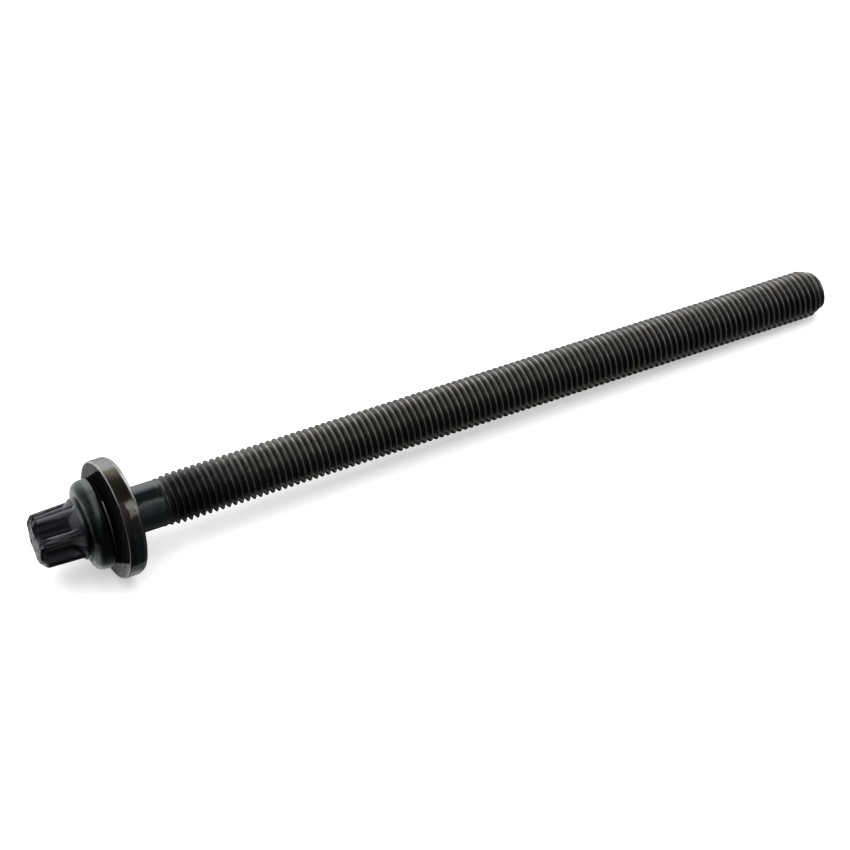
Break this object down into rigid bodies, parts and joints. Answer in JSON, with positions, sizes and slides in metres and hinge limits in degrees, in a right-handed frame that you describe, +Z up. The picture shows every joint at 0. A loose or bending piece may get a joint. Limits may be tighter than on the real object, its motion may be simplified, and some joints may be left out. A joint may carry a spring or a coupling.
{
  "type": "cylinder head bolt",
  "caption": "Long cylinder head bolt with an external lobed drive, a rounded flange, a loose thick washer held on its neck and a fine right-hand thread.",
  "frame": {"origin": "bottom centre of the part's box, on the surface that the bolt lies on", "axes": "+X along the bolt from the head to the tip, +Z up, with the bolt lying on its washer's rim and its last thread crests"},
  "size_m": [0.2, 0.0272, 0.0271],
  "materials": {
    "black_steel": "satin black oxide, worn to lighter steel on ridges and thread crests",
    "bare_steel": "worn bare steel, warm grey with olive-brown stains"
  },
  "bodies": {
    "bolt": {"bolt": "black_steel"},
    "washer": {"washer": "bare_steel"}
  },
  "joints": [
    {"name": "washer_spin", "type": "hinge", "parent": "bolt", "child": "washer", "pos_m": [-0.08162, 0, 0.01357], "axis": [0.9895, 0.0747, -0.1233], "continuous": true}
  ]
}
